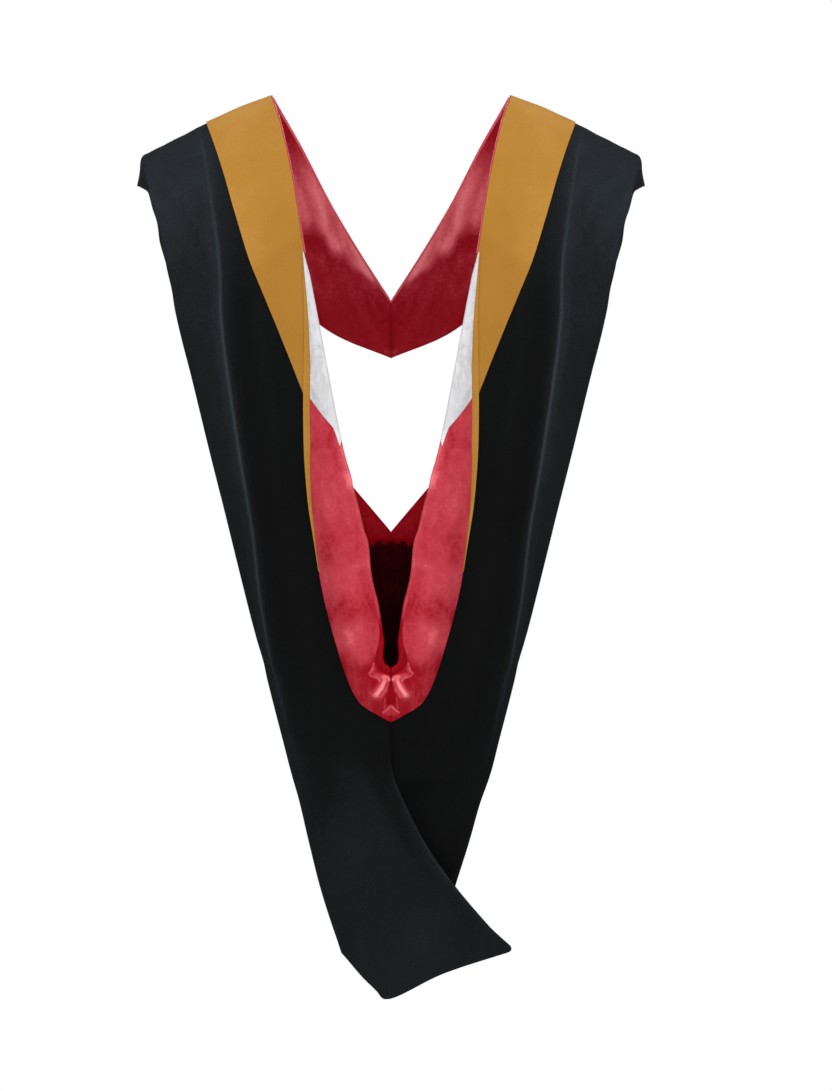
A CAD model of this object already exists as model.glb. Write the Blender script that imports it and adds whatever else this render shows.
"""An academic hood in its worn form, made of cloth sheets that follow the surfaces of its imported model.

Lengths are millimetres until a mesh is made, with +Z up and the back of the hood towards -Y. Each half is
one strip of cloth. Along, it runs from the centre front over the shoulder and down the back to the tail.
Across, it runs from the hem edge, next to the wearer, round the side fold to the face edge.
"""
import math
from types import SimpleNamespace as Table

import bpy
import numpy as np
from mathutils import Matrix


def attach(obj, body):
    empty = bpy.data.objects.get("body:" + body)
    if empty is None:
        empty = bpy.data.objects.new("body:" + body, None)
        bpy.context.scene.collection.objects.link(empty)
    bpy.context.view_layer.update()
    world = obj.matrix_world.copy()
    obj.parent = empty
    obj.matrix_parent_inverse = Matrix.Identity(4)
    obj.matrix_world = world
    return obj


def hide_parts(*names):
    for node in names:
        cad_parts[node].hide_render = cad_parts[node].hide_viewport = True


MM = 0.001
TINY = 1e-6
LEFT, RIGHT = -1, 1

# Overall sizes, the same as the model's, apart from a slightly wider velvet edge (BINDING_WIDTH).
HALF_WIDTH = 280.0
NECK_HALF_WIDTH = 134.0
DROP = 1007.0
FRONT_DROP = 290.0
CHEST_DEPTH = 124.0
BACK_DEPTH = 160.0
TAIL_SWING = 134.0
TRIM_WIDTH = 80.0
BINDING_WIDTH = 7.8
SWELL = 10.0
FOLD_RADIUS = 8.0
PLEAT_RADIUS = 3.0
TURNOUT_WIDTH = 57.0
TUCK = 14.0
TUCK_CLEARANCE = 0.4
PUFF = 7.0

# Cloth walls, the gaps between them, and the lifts off the middle of the shell. The walls are a little
# thinner than the model's, so that the layers lie closer.
SHELL_WALL = 1.5
LINING_WALL = 1.0
TRIM_WALL = 1.2
LAYER_GAP = 0.25
JOIN_GAP = 0.2
FLAP_LIFT = 0.5
LINING_OFFSET = -(SHELL_WALL / 2 + LAYER_GAP + LINING_WALL / 2)
TRIM_OFFSET = SHELL_WALL / 2 + LAYER_GAP + TRIM_WALL / 2
FLAP_OFFSET = TRIM_OFFSET + TRIM_WALL / 2 + LAYER_GAP + LINING_WALL / 2
ROLL_RADIUS = (FLAP_OFFSET - LINING_OFFSET) / 2
EDGE_SETBACK = ROLL_RADIUS + LAYER_GAP
SETTLED_OFFSET = SHELL_WALL / 2 + LAYER_GAP + LINING_WALL / 2
TRIM_START = 1.0
PIPING_TURN = 120
CORNER_RADIUS = 9.0
EDGE_DOME = 0.6
# Normals stay in the middle plane this near to it, and the shell's setback ends over these rows about the top
# of the back seam.
CENTRE_REACH = 4 * JOIN_GAP
SETBACK_ENDS = (-1, 3)
# Shares of the way to the next control: from a flat side fold to the hem and the ridge, and from the valley
# to the ridge and the face edge.
BESIDE_FOLD = (0.4, 0.12)
BESIDE_VALLEY = (0.4, 0.45)

# Sections of one half. face, fold and hem are (across, depth, down): face as a share of the neck's half
# width and the others of the half width, depth of the chest or back depth, down of the drop. ridge and
# valley are (share of the way from face to fold, swell, sag). facing is the way the cloth looks, in
# degrees from the chest over the shoulder. turn is the side fold's radius and trim the velvet's width,
# both as shares, and hollow lifts the cloth beside the free edge. steps is the length of the stretch
# below, in units of ROWS_PER_STEP. Below its point the hem is given past the centre line, where it is cut
# off, so that the point is sharp. They are the model's sections, fitted more closely at the side fold,
# the foot of the opening and the tail's lowest corner.
def section(name, steps, face, fold, hem, ridge, valley, facing=180, turn=1, **more):
    return dict(name=name, steps=steps, face=face, fold=fold, hem=hem, ridge=ridge, valley=valley,
                facing=facing, turn=turn, **more)


FRONT = [
    section("centre front", 2, (0, 0.95, 0.772), (0, 1, 0.96), (0, 1, 1),
            (0.5, 0.2), (0.2, 0.1), facing=0, turn=0, trim=0.72),
    section("breastbone", 2, (0.246, 0.9, 0.598), (0.221, 0.95, 0.85), (0.246, 0.95, 0.9),
            (0.5, 0.4), (0.2, 0.2), facing=10, turn=0, trim=0.85),
    section("chest", 2, (0.515, 0.74, 0.393), (0.464, 0.77, 0.655), (0.507, 0.77, 0.7),
            (0.52, 0.6), (0.22, 0.3), facing=20, turn=0, trim=0.96),
    section("collarbone", 2, (0.77, 0.435, 0.172), (0.743, 0.435, 0.448), (0.786, 0.45, 0.514),
            (0.54, 0.6), (0.24, 0.3), facing=50, turn=0, trim=1),
    section("front of shoulder", 1, (0.94, 0.25, 0.04), (0.936, 0.24, 0.29), (0.971, 0.26, 0.372),
            (0.54, 0.5), (0.25, 0.3), facing=70, turn=0, trim=1),
]
BACK = [
    section("shoulder line", 2, (1, 0, 0), (1.002, 0, 0.0665), (1.024, 0.03, 0.1),
            (0.55, 0.3), (0.25, 0.3), facing=90, turn=0, trim=1),
    section("back of shoulder", 2, (0.918, -0.3, 0.034), (0.965, -0.27, 0.111), (0.966, -0.25, 0.113),
            (0.57, 0.8), (0.27, 0.2), facing=140, turn=0, trim=1),
    section("shoulder blade", 3, (0.813, -0.52, 0.096), (0.914, -0.45, 0.159), (0.912, -0.42, 0.172),
            (0.6, 1.2), (0.3, 0.1), facing=165, turn=0, trim=0.94),
    section("top of turnout", 3, (0.706, -0.7, 0.183), (0.871, -0.59, 0.2145), (0.846, -0.54, 0.228),
            (0.62, 1.3), (0.3, 0), facing=175, turn=0, trim=0.78),
    section("upper cowl", 4, (0.597, -0.79, 0.26), (0.838, -0.65, 0.26), (0.707, -0.575, 0.26),
            (0.68, 1.4), (0.32, -0.3), trim=0.625),
    section("foot of chevron", 3, (0.396, -0.925, 0.397), (0.722, -0.725, 0.397), (0.282, -0.625, 0.397),
            (0.755, 1.4), (0.38, -0.6), trim=0.24),
    section("point of hem", 2, (0.22, -0.975, 0.489), (0.636, -0.7375, 0.489), (0, -0.65, 0.489),
            (0.81, 1.3), (0.42, -0.7), trim=0.1),
    section("middle of cowl", 2, (0.138, -1, 0.556), (0.574, -0.7625, 0.556), (-0.2, -0.65, 0.556),
            (0.87, 1.1), (0.46, -0.6)),
    section("narrow of opening", 1, (0.0825, -1.015, 0.606), (0.528, -0.771, 0.606), (-0.12, -0.653, 0.606),
            (0.9, 1), (0.48, -0.5)),
    section("foot of opening", 1, (0.056, -1.02, 0.6325), (0.5, -0.775, 0.6325), (-0.06, -0.655, 0.6325),
            (0.92, 0.9), (0.5, -0.4)),
    section("top of back seam", 2, (0, -1.02, 0.6405), (0.494, -0.775, 0.6405), (-0.05, -0.655, 0.6405),
            (0.92, 0.9), (0.5, -0.4)),
    section("below turnout", 2, (0, -0.975, 0.715), (0.423, -0.78, 0.715), (-0.02, -0.66, 0.715),
            (0.93, 0.7), (0.5, 0.1)),
]
# In the tail both halves lie to the right, the left one in front. face is a share of the tail's swing,
# and pleat is where the right half turns back under the left one, a place like fold's.
LEFT_TAIL = [
    section("root of tail", 1, (-0.015, -0.99, 0.751), (0.39, -0.7875, 0.751), (0, -0.67, 0.751),
            (0.9, 0.7), (0.42, 0.5)),
    section("upper tail", 2, (-0.11, -0.97, 0.783), (0.357, -0.79, 0.783), (0, -0.68, 0.783),
            (0.86, 0.8), (0.38, 0.9)),
    section("middle of tail", 2, (-0.29, -0.95, 0.83), (0.318, -0.8, 0.83), (0, -0.695, 0.83),
            (0.82, 0.9), (0.38, 1), turn=0.9),
    section("lower tail", 2, (-0.526, -0.93, 0.875), (0.279, -0.8, 0.875), (0, -0.71, 0.875),
            (0.82, 0.8), (0.5, 1), turn=0.8),
    section("above hem of tail", 2, (-0.8, -0.91, 0.918), (0.232, -0.805, 0.918), (0, -0.725, 0.918),
            (0.84, 0.7), (0.6, 1, 0.004), turn=0.6),
    section("hem of tail", 0, (-1.02, -0.89, 0.945), (0.193, -0.8125, 0.949), (0, -0.7625, 0.997),
            (0.88, 0.5, 0.027), (0.752, 0.9, 0.0505), turn=0.4, hollow=0.004),
]
RIGHT_TAIL = [
    dict(LEFT_TAIL[0], face=(0, -0.96, 0.751), valley=(0.42, 0)),
    dict(LEFT_TAIL[1], face=(0.11, -0.93, 0.783), fold=(0.35, -0.79, 0.783), ridge=(0.8, 0.5),
         pleat=(-0.02, -0.895, 0.783)),
    dict(LEFT_TAIL[2], face=(0.29, -0.915, 0.83), fold=(0.302, -0.8, 0.83), ridge=(0.8, 0.4),
         pleat=(-0.02, -0.885, 0.83)),
    dict(LEFT_TAIL[3], face=(0.526, -0.897, 0.875), fold=(0.252, -0.8, 0.875), ridge=(0.8, 0.3),
         pleat=(-0.015, -0.87, 0.875)),
    dict(LEFT_TAIL[4], face=(0.8, -0.88, 0.918), fold=(0.207, -0.805, 0.918), ridge=(0.8, 0.2),
         pleat=(0, -0.855, 0.918)),
    dict(LEFT_TAIL[5], face=(0.98, -0.862, 0.944), fold=(0.125, -0.8125, 0.968), hem=(0, -0.7625, 0.986),
         ridge=(0.8, 0.1), pleat=(0.015, -0.8375, 0.98)),
]

# The lining that is turned out over the shell: where it leaves the face edge (down), how far its free
# edge lies beyond the face edge as a share of the turnout's width (width), how far down that edge is
# (foot), and how far the lining puffs, as a share of PUFF.
TURNOUT_COLUMNS = ("down", "width", "foot", "puff")
TURNOUT = [
    (0.183, 0.055, 0.183, 0),
    (0.248, 0.235, 0.248, 0.1),
    (0.32, 0.48, 0.316, 0.25),
    (0.382, 0.69, 0.37, 0.4),
    (0.427, 0.845, 0.422, 0.55),
    (0.467, 0.96, 0.468, 0.7),
    (0.511, 1, 0.511, 0.9),
    (0.556, 0.96, 0.561, 1),
    (0.596, 0.855, 0.608, 1),
    (0.6235, 0.645, 0.654, 0.8),
    (0.6345, 0.425, 0.68, 0.6),
    (0.639, 0.235, 0.6885, 0.5),
    (0.6405, 0, 0.696, 0.5),
]
TURNOUT_TOP = 0.183
TURNOUT_END = 0.6405
# Where the white ends: its edge runs straight from the free edge (edge) towards the fold (fold), and
# comes to a point along the fold that is this much longer (point) and starts at this share of the way
# (point_from).
CHEVRON_FOOT = Table(edge=0.35, fold=0.381, point=0.016, point_from=0.12)
# How far up the fold the turned-out lining's tucked edge leans, as a share of the way to the free edge.
ROLL_SHARE = 0.09
# The velvet edge: where it starts, its width there as a share, where it is full and starts narrowing,
# where it would end in a point, and how far towards that it is cut.
BINDING = Table(start=0.184, least=0.1, full=0.31, narrowing=0.4, end=0.535, cut=0.97)

# How finely each form is cut.
ROWS_PER_STEP = 6
ACROSS_STEPS = (6, 6, 4, 4, 16, 22, 8, 8, 14)
CREASE_SPAN = 5
TRIM_STEPS = 22
TUCK_STEPS = 5
ROLL_STEPS = 10
FLAP_STEPS = 64
CHEVRON_ROWS = 150
COWL_FLAP_ROWS = 280
BINDING_ROWS = 220
BINDING_STEPS = 6
COWL_STEPS = 150
# Rows and columns that lie closer at one side are spread by these powers.
COWL_SPREAD = 1.5
CREASE_SPREAD = 2
EDGE_SPREAD = 1.5
FOOT_SPREAD = 1.9
RIDGE_COLUMN = sum(ACROSS_STEPS[:CREASE_SPAN])
FOLD_COLUMN = sum(ACROSS_STEPS[:3])
OUTER_COLUMN = sum(ACROSS_STEPS[:4])
TURNOUT_STEPS = 600
NOISE_CELLS = 64
BLEND_ROWS = 8
# The plain grid over the outer cloth of the cowl, in x and z. It runs on past the face edge by EDGE_RUN_ON
# times the width of the last EDGE_COLUMNS columns.
OUTER_STEP = 2.0
OUTER_ACROSS = (-24.0, 190.0)
OUTER_DOWN = (-130.0, -752.0)
EDGE_COLUMNS = 4
EDGE_RUN_ON = 12
# Places on that grid stop this far short of its end, in steps, and normals turn into the middle plane
# this near to it.
SHORT_OF_END = 1.001
MIDDLE_REACH = 6

# Folds of the black cloth. Rows of three are bells: their height or tone, their place and their width.
# Those of the crease are placed from it towards the face edge, and those of the seam and the tail's edge
# from the face edge. A table by section holds the share of the fold at each section, and changes smoothly
# between them.
CREASE_FOLD = ((3.2, 0, 9.0), (-1.44, 21.6, 15.3))
CREASE_BY_SECTION = {
    "shoulder line": 0, "back of shoulder": 0.35, "shoulder blade": 0.9, "top of turnout": 1,
    "point of hem": 1, "middle of cowl": 0.6, "foot of opening": 0.25, "below turnout": 0,
}
SEAM_FOLD = ((-1.6, 0, 6),)
SEAM_BY_SECTION = {"middle of cowl": 0, "foot of opening": 1, "below turnout": 1, "upper tail": 0}
# Random waves are given by their size across and along and by their seed.
DRAPES = ((1.7, (85, 150, 3)), (0.6, (36, 62, 8)))
DRAPE_BY_SECTION = {
    "centre front": 0.35, "front of shoulder": 0.5, "top of turnout": 1, "top of back seam": 1,
    "root of tail": 0.5, "hem of tail": 0.4,
}
SHOULDER_FOLDS = Table(height=1.1, gap=26.0, lean=0.35, between=(60, 110))
SHOULDER_FOLDS_BY_SECTION = {
    "front of shoulder": 0, "shoulder line": 0.1, "back of shoulder": 1, "shoulder blade": 0.8,
    "upper cowl": 0,
}
# The black cloth's tones, by section: outside the crease, inside it, and on it. The first changes into the
# second over the distances INSIDE_FROM from the crease.
TONE_OUTSIDE = {
    "collarbone": -0.1, "front of shoulder": -0.2, "shoulder line": 0.14, "back of shoulder": 0.2,
    "top of turnout": 0.08, "middle of cowl": 0.02, "upper tail": -0.03, "hem of tail": 0.0,
}
TONE_INSIDE = {
    "front of shoulder": -0.2, "shoulder line": 0.08, "shoulder blade": 0.02, "top of turnout": -0.1,
    "upper cowl": -0.2, "foot of chevron": -0.28, "middle of cowl": -0.3, "below turnout": -0.27,
    "root of tail": -0.13, "middle of tail": -0.03, "hem of tail": -0.03,
}
TONE_CREASE = {
    "shoulder line": 0, "back of shoulder": 0.12, "shoulder blade": 0.16, "top of turnout": 0.3,
    "foot of chevron": 0.42, "middle of cowl": 0.36, "foot of opening": 0.26, "root of tail": 0,
}
INSIDE_FROM = (-12, 26)
CREASE_GLOW = ((1, 0, 2.0), (0.4, -4, 8), (0.2, 42, 12))
# The right half is darker where the tail hides it from the light, and both are darker behind the side fold.
# The left half's free edge in the tail is lighter, and the back seam is a dark line.
TONE_UNDER_TAIL = {"foot of opening": 0, "root of tail": -0.17, "middle of tail": -0.36, "hem of tail": -0.36}
TONE_BEHIND_FOLD = -0.24
TAIL_EDGE_TONES = ((0.2, 1, 2.5), (-0.1, 16, 12))
TAIL_EDGE_BY_SECTION = {"below turnout": 0, "root of tail": 1, "lower tail": 0.8, "hem of tail": 0.2}
SEAM_TONES = ((-0.18, 0, 4),)
# Broad soft tones of the black cloth: (across, down) of the middle and of the reach, as shares of the
# half width and the drop, and the tone. across is negative on the left.
CLOTH_SHADES = (
    ((-0.28, 0.79), (0.07, 0.07), -0.09),
    ((-0.04, 0.835), (0.1, 0.05), 0.05),
    ((-0.18, 0.93), (0.05, 0.04), -0.09),
    ((0.08, 0.93), (0.12, 0.035), 0.06),
    ((-0.02, 0.735), (0.08, 0.02), -0.12),
    ((0.28, 0.93), (0.08, 0.03), -0.06),
    ((-0.4, 0.44), (0.05, 0.08), -0.08),
    ((0.4, 0.44), (0.05, 0.08), -0.08),
)

# The velvet is lighter along a line that falls from the neck point, and darkens below the lines of
# VELVET_SHADES. Their ends are (across, down) as shares of the half width and the drop, soft is half the
# width of the change, and along is where a shade starts and ends on its line, in shares of its length.
VELVET_LIGHT = Table(tone=0.1, slope=0.42, width=12)
VELVET_SHADES = (
    dict(start=(0.42, 0.173), end=(0.549, 0.1985), soft=9, tone=-0.12),
    dict(start=(0.449, 0.13), end=(0.504, 0.166), soft=8, tone=-0.07, along=((-0.6, 0.4), (0.9, 1.3))),
)
VELVET_EDGE_TONE = -0.02

# The neckband's lining is bright near the neck edge, as far as a ragged line, and dark beyond it. reach
# is how far that is at the shoulder and at the foot, and soft the change across it in shares of reach.
# Other pairs are heights in millimetres below the shoulder line, between which something changes.
NECK_LIGHT = Table(reach=(62, 12), narrowing=(110, 205), soft=(0.45, 1.3), top=(40, 105), foot=(190, 214))
NECK_RAGGED = Table(share=0.4, waves=(30, 17, 16))
NECK_TONES = Table(dark=-0.07, bright=0.33, foot=-0.09, darkening=(190, 250))
# Wisps lie aslant, and are stronger where it is bright.
NECK_WISPS = Table(slant=1.3, dark=0.04, bright=0.12, waves=(24, 34, 13), fine=0.6, fine_waves=(9, 15, 14))
NECK_SEAM = Table(tone=-0.07, width=5, starting=(225, 245))
PUCKERS = Table(tone=0.2, reach=13, from_edge=5, width=4, starting=(200, 240), waves=(3, 30, 15))
PIPING_TONE = 0.24

# The cowl's lining is red down to a ragged line (down, a share of the drop), and nearly black below it,
# with a faint streak of light that starts lower by a share of the drop (below) and falls outwards.
POCKET = Table(red=-0.16, black=(-0.4, -0.5), down=0.501, soft=4, deep=70, ragged=7, waves=(7, 21, 17))
POCKET_GLOW = Table(tone=0.05, below=0.05, slope=0.9, width=9)

# The rim of the opening, where the lining folds over, has bumps, which are let out between two heights of
# their noise and die away over the flap with a power of the way left. It is light above the pocket, by
# tone and by factors for the roll and the flap, and dimmed lower down. Pairs are heights as shares of the
# drop.
RIM_BUMPS = Table(height=3.6, waves=(36, 1, 5), let_out=(0, 0.8), power=5, top=(0.39, 0.44),
                  foot=(0.61, 0.635))
RIM_LIGHT = Table(tone=0.16, roll=1.7, flap=1.3, width=4, top=(0.37, 0.39), dimmed=0.75, foot=(0.43, 0.455))
# The roll's tones where it is tucked in and where it shows, the change between them around it, and the
# heights from which the lining is sunk into the lip's tone. At its top the roll starts flat and opens.
ROLL_TONES = Table(tucked=-0.2, shown=0.06, around=(0.15, 0.5), sunk=(0.575, 0.6))
ROLL_OPENING = Table(flat=0.2, height=0.03)

# Folds of the satin that is turned out, as heights off its surface. They need room under them, and die
# away towards the free edge. Below the velvet edge the free edge settles on the shell.
SATIN_FOLDS = ((0.8, (30, 55, 21)), (0.3, (15, 24, 34)))
FOLD_ROOM = 2.5
FREE_EDGE_REACH = 12
SETTLING = Table(share=(0.4, 1), down=(0.45, 0.5))
# Soft shines on the turned-out satin: their height on the fold, their share of the way from there to the
# free edge, how tall and wide they are in the same shares, and their tone.
SHINES = (
    (0.41, 0.5, 0.03, 0.8, 0.1),
    (0.455, 0.4, 0.02, 0.4, 0.06),
    (0.5, 0.55, 0.014, 0.5, -0.05),
    (0.535, 0.85, 0.016, 0.16, 0.16),
    (0.545, 0.3, 0.03, 0.2, 0.08),
    (0.57, 0.6, 0.012, 0.5, -0.05),
    (0.595, 0.55, 0.012, 0.35, 0.2),
    (0.616, 0.4, 0.009, 0.3, 0.18),
)
# The satin darkens towards its foot, over these heights from the top of the back seam.
FOOT_SHADE = Table(tone=-0.17, between=(-30, -2))
# The lip of the opening near its foot, inside which the satin is sunk and dark: (across, down) from the
# top of the back seam, as shares of GATHER. It starts over the heights LIP_TOP, and changes across its edge
# over LIP_SOFT. The gathers lie below it, on both sides of the seam. Each has a width, a rise and a tone, the
# first two as shares of GATHER, and follows a path of such places. Both the lip and the gathers rise or sink
# over ROLL_REACH from the rolled edge.
GATHER = 20.0
LIP_TONE = -0.25
LIP_DEPTH = 1.5
LIP_SOFT = (-0.5, 0.8)
LIP_TOP = (-3.2 * GATHER, -2.4 * GATHER)
ROLL_REACH = 6
LIP = ((0.5, -3.2), (0.6, -2.2), (0.69, -1.5), (0.81, -1.08), (0.9, -0.78), (0.9, -0.49), (0.8, -0.25),
       (0.62, 0.02), (0.4, 0.15), (0.18, 0.2), (0, 0.3))
GATHERS = {
    "wing's edge": (0.05, 0.05, 0.3, [
        (0.93, -0.43), (0.98, -0.19), (1.05, -0.02), (1.19, 0.11), (1.11, 0.23), (0.96, 0.31), (0.8, 0.32),
        (0.66, 0.41), (0.59, 0.53)]),
    "wing": (0.14, 0.03, 0.2, [(0.94, -0.1), (0.98, 0.12), (0.6, 0.28), (0.3, 0.38)]),
    "wing's root": (0.06, 0.05, 0.28, [(0.43, 0.25), (0.3, 0.25), (0.16, 0.3), (0.08, 0.44)]),
    "petal": (0.21, 0.1, 0.36, [(0.32, 0.45), (0.54, 0.88), (0.82, 1.26)]),
    "petal's core": (0.11, 0.04, 0.3, [(0.34, 0.6), (0.5, 0.95), (0.72, 1.24)]),
    "petal's end": (0.06, 0.02, 0.1, [(0.96, 1.33), (0.82, 1.4), (0.64, 1.36)]),
    "inner petal": (0.07, 0.05, 0.22, [(0.1, 0.44), (0.16, 0.8), (0.32, 1.1), (0.52, 1.4)]),
    "seam hollow": (0.13, -0.08, -0.3, [(0, 0.7), (0.06, 1.3), (0.12, 1.72)]),
    "streak": (0.07, 0.02, 0.14, [(0.3, 1.5), (0.35, 2.0)]),
    "peak": (0.05, 0.05, 0.42, [(0, 1.88), (0.22, 2.1), (0.43, 2.25)]),
    "under the peak": (0.16, 0.0, 0.12, [(0, 2.12), (0.1, 2.25)]),
}

# The camera is level behind the hood and far off, for the flat look of the photograph, whose middle is a
# little to the right of the hood's. Places and sizes are metres, the lens and the sensor's height
# millimetres, and the shift a share of the image's height, both in pixels.
CAMERA = Table(place=(0, -4.63, -0.5076), lens=135, sensor=36, shift=25 / 1091)
FLOOR = Table(height=-1.25, radius=0.9, corners=96, colour=(0.9, 0.9, 0.9, 1), roughness=0.9)
WORLD_LIGHT = ((0.98, 0.99, 1.0, 1), 0.45)
WORLD_WHITE = ((1, 1, 1, 1), 1.0)
# Softboxes face LIGHT_TARGET. Each has a place, a width and height, and a power in watts.
LIGHT_TARGET = (0, -0.1, -0.5)
SOFTBOXES = (
    ("left_softbox", (-2.6, -2.6, 0.6), (1.6, 2.2), 42),
    ("right_softbox", (2.6, -2.6, 0.6), (1.6, 2.2), 42),
    ("front_softbox", (0, -4.6, 0.9), (2.4, 1.6), 55),
    ("overhead", (0, -0.6, 2.4), (2.4, 2.4), 25),
    ("chest_softbox", (0, 4.6, 0.9), (2.4, 1.6), 60),
)


def length(vectors):
    return np.linalg.norm(vectors, axis=-1, keepdims=True)


def unit(vectors):
    return vectors / np.maximum(length(vectors), TINY)


def lerp(a, b, share):
    return a + (b - a) * share


def fade(value, start, end):
    """0 before start and 1 after end, with a smooth change between them."""
    share = np.clip((value - start) / (end - start), 0, 1)
    return share * share * (3 - 2 * share)


def bell(distance, width):
    return np.exp(-((distance / width) ** 2))


def zone(value, top, foot):
    """1 between top and foot, each a stretch over which it changes, and 0 outside them."""
    return fade(value, *top) * (1 - fade(value, *foot))


def bells(distance, rows):
    """A sum of bells, each a height, a place and a width."""
    return sum(height * bell(distance - at, width) for height, at, width in rows)


def ripple(across, along, size_across, size_along, seed):
    """Smooth random heights from -1 to 1 over two distances, the same on every run."""
    table = np.random.default_rng(seed).uniform(-1, 1, (NOISE_CELLS, NOISE_CELLS))
    u, v = np.broadcast_arrays(across / size_across, along / size_along)
    i, j = np.floor(u).astype(int), np.floor(v).astype(int)
    s, t = fade(u - i, 0, 1), fade(v - j, 0, 1)

    def corner(di, dj):
        return table[(i + di) % NOISE_CELLS, (j + dj) % NOISE_CELLS]

    return lerp(lerp(corner(0, 0), corner(1, 0), s), lerp(corner(0, 1), corner(1, 1), s), t)


def resampled(values, known, wanted):
    """Rows of values at wanted places along a line, from those at known places."""
    return np.stack([np.interp(wanted, known, column) for column in values.T], axis=-1)


def through(knots, where):
    """Points at where, from 0 to 1, on the smooth curves through knots, which are [knot, curve, axis]."""
    ends = np.concatenate([2 * knots[:1] - knots[1:2], knots, 2 * knots[-1:] - knots[-2:-1]])
    place = np.asarray(where) * (len(knots) - 1)
    first = np.clip(place.astype(int), 0, len(knots) - 2)
    share = (place - first)[:, None, None]
    a, b, c, d = (ends[first + n] for n in range(4))
    before, here, after = (np.sqrt(length(q - p)) + TINY for p, q in ((a, b), (b, c), (c, d)))
    leave = ((b - a) / before - (c - a) / (before + here) + (c - b) / here) * here
    arrive = ((c - b) / here - (d - b) / (here + after) + (d - c) / after) * here
    bend = 3 * (c - b) - 2 * leave - arrive
    return b + share * (leave + share * (bend + share * (2 * (b - c) + leave + arrive)))


def steps_between(counts):
    """Parameters from 0 to 1 that cut each of several equal spans into its own number of steps."""
    steps = [span + np.arange(count) / count for span, count in enumerate(counts)]
    return np.concatenate([*steps, [len(counts)]]) / len(counts)


def across_and_down(points):
    return np.abs(points[..., 0]), -points[..., 2]


def columns_across():
    """Parameters from 0 to 1 across a section, closer together beside the crease and the face edge."""
    spans = []
    for span, count in enumerate(ACROSS_STEPS):
        share = np.arange(count) / count
        if span == CREASE_SPAN - 1:
            share = 1 - (1 - share) ** CREASE_SPREAD
        elif span == CREASE_SPAN:
            share = share ** CREASE_SPREAD
        elif span == len(ACROSS_STEPS) - 1:
            share = 1 - (1 - share) ** EDGE_SPREAD
        spans.append(span + share)
    return np.concatenate([*spans, [len(ACROSS_STEPS)]]) / len(ACROSS_STEPS)


def point_of(place, side, reach, fall):
    across, depth, down = place
    out = CHEST_DEPTH if depth > 0 else BACK_DEPTH
    return np.array([side * across * reach, depth * out, -down * fall])


def swelled(a, b, rise, facing, fall):
    """A point of a ridge or valley: part of the way from a to b, then out of the cloth and down."""
    share, swell, sag = (*rise, 0)[:3]
    angle = math.radians(facing)
    outwards = np.array([0, math.cos(angle), math.sin(angle)])
    return lerp(a, b, share) + outwards * swell * SWELL - np.array([0, 0, sag * fall])


def controls_of(row, side, face_reach, fall):
    """The ten control points across one section, from the hem edge to the face edge."""
    hem = point_of(row["hem"], side, HALF_WIDTH, fall)
    fold = point_of(row["fold"], side, HALF_WIDTH, fall)
    face = point_of(row["face"], side, face_reach, fall)
    start = point_of(row["pleat"], side, HALF_WIDTH, fall) if "pleat" in row else face
    ridge = swelled(start, fold, row["ridge"], row["facing"], fall)
    radius = row["turn"] * FOLD_RADIUS
    if radius:
        slope = (ridge[2] - fold[2]) / abs(ridge[0] - fold[0])
        fold_in = fold + radius * np.array([-side, 1, slope])
        fold_out = fold + radius * np.array([-side, -1, slope])
    else:
        fold_in = lerp(fold, hem, BESIDE_FOLD[0])
        fold_out = lerp(fold, ridge, BESIDE_FOLD[1])
    if "pleat" in row:
        pleat_tip = start
        pleat_in = start + np.array([PLEAT_RADIUS, PLEAT_RADIUS, 0])
        pleat_out = start + np.array([PLEAT_RADIUS, -PLEAT_RADIUS, 0])
    else:
        pleat_tip = swelled(face, fold, row["valley"], row["facing"], fall)
        pleat_in = lerp(pleat_tip, ridge, BESIDE_VALLEY[0])
        pleat_out = lerp(pleat_tip, face, BESIDE_VALLEY[1]) + np.array([0, 0, row.get("hollow", 0) * fall])
    inner = lerp(hem, fold_in, 0.5)
    return [hem, inner, fold_in, fold, fold_out, ridge, pleat_in, pleat_tip, pleat_out, face]


def normals_of(grid):
    """Unit normals of a grid of points. On the centre line they stay in its plane, so that halves meet."""
    normals = np.cross(np.gradient(grid, axis=1), np.gradient(grid, axis=0))
    on_centre = np.abs(grid[..., 0]) < CENTRE_REACH
    normals[..., 0] = np.where(on_centre, 0, normals[..., 0])
    return unit(normals)


def lengths_along(grid, axis):
    """Distances of a grid's points from its first line along an axis."""
    steps = np.linalg.norm(np.diff(grid, axis=axis), axis=-1)
    start = np.zeros_like(np.take(steps, [0], axis=axis))
    return np.concatenate([start, np.cumsum(steps, axis=axis)], axis=axis)


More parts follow.
